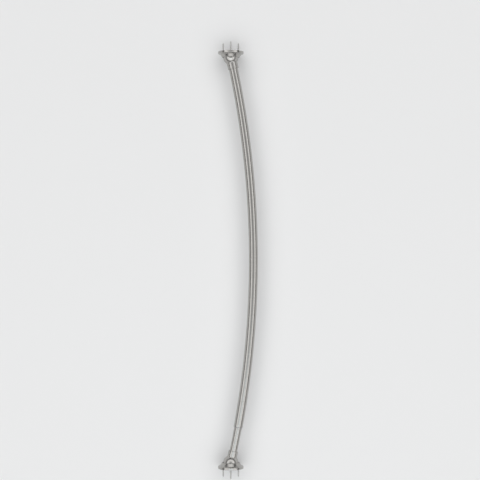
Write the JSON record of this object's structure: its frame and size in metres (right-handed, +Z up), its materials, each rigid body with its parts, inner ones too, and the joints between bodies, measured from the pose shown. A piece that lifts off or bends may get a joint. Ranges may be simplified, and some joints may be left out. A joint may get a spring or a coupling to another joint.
{
  "type": "curved shower curtain rod",
  "caption": "Curved telescopic shower curtain rod in satin stainless steel, with swivelling round wall mounts under spun covers.",
  "frame": {"origin": "middle of the left wall plate's back face, on the left wall", "axes": "+X from the left wall to the right wall, -Y the side that the rod bows to, +Z up as installed"},
  "size_m": [1.0894, 0.0995, 0.064],
  "materials": {
    "satin_steel": "satin stainless steel, brushed round the tubes and covers",
    "satin_zinc": "zinc casting with satin plating",
    "plated_steel": "zinc-plated pressed steel",
    "screw_steel": "bright plated steel",
    "grey_nylon": "moulded nylon",
    "white_nylon": "natural nylon"
  },
  "bodies": {
    "left_mount": {"left_wall_plate": "plated_steel", "left_pivot_post": "plated_steel", "left_wall_screws": "screw_steel"},
    "left_cover": {"left_cover": "satin_steel"},
    "inner_rod": {"inner_tube": "satin_steel", "tail_glide": "grey_nylon", "left_swivel_end": "satin_zinc", "left_set_screw": "screw_steel", "left_pivot_pin": "screw_steel", "left_pivot_washers": "white_nylon"},
    "outer_rod": {"outer_tube": "satin_steel", "guide_bush": "grey_nylon", "right_swivel_end": "satin_zinc", "right_set_screw": "screw_steel", "right_pivot_pin": "screw_steel", "right_pivot_washers": "white_nylon"},
    "right_mount": {"right_wall_plate": "plated_steel", "right_pivot_post": "plated_steel", "right_wall_screws": "screw_steel"},
    "right_cover": {"right_cover": "satin_steel"}
  },
  "joints": [
    {"name": "left_swivel", "type": "hinge", "parent": "left_mount", "child": "inner_rod", "pos_m": [0.01382, 0, 0], "axis": [0, 0, 1], "range_deg": [-11.4, 4.8]},
    {"name": "telescope", "type": "hinge", "parent": "inner_rod", "child": "outer_rod", "pos_m": [0.5207, 2.24345, 0], "axis": [0, 0, 1], "range_deg": [0, 20.64]},
    {"name": "right_swivel", "type": "hinge", "parent": "outer_rod", "child": "right_mount", "pos_m": [1.02758, 0, 0], "axis": [0, 0, 1], "range_deg": [-11.4, 4.8]},
    {"name": "left_cover_slide", "type": "slide", "parent": "left_mount", "child": "left_cover", "axis": [0.9516, -0.3072, 0], "range_m": [0, 0.03]},
    {"name": "right_cover_slide", "type": "slide", "parent": "right_mount", "child": "right_cover", "axis": [-0.9516, -0.3072, 0], "range_m": [0, 0.03]}
  ]
}
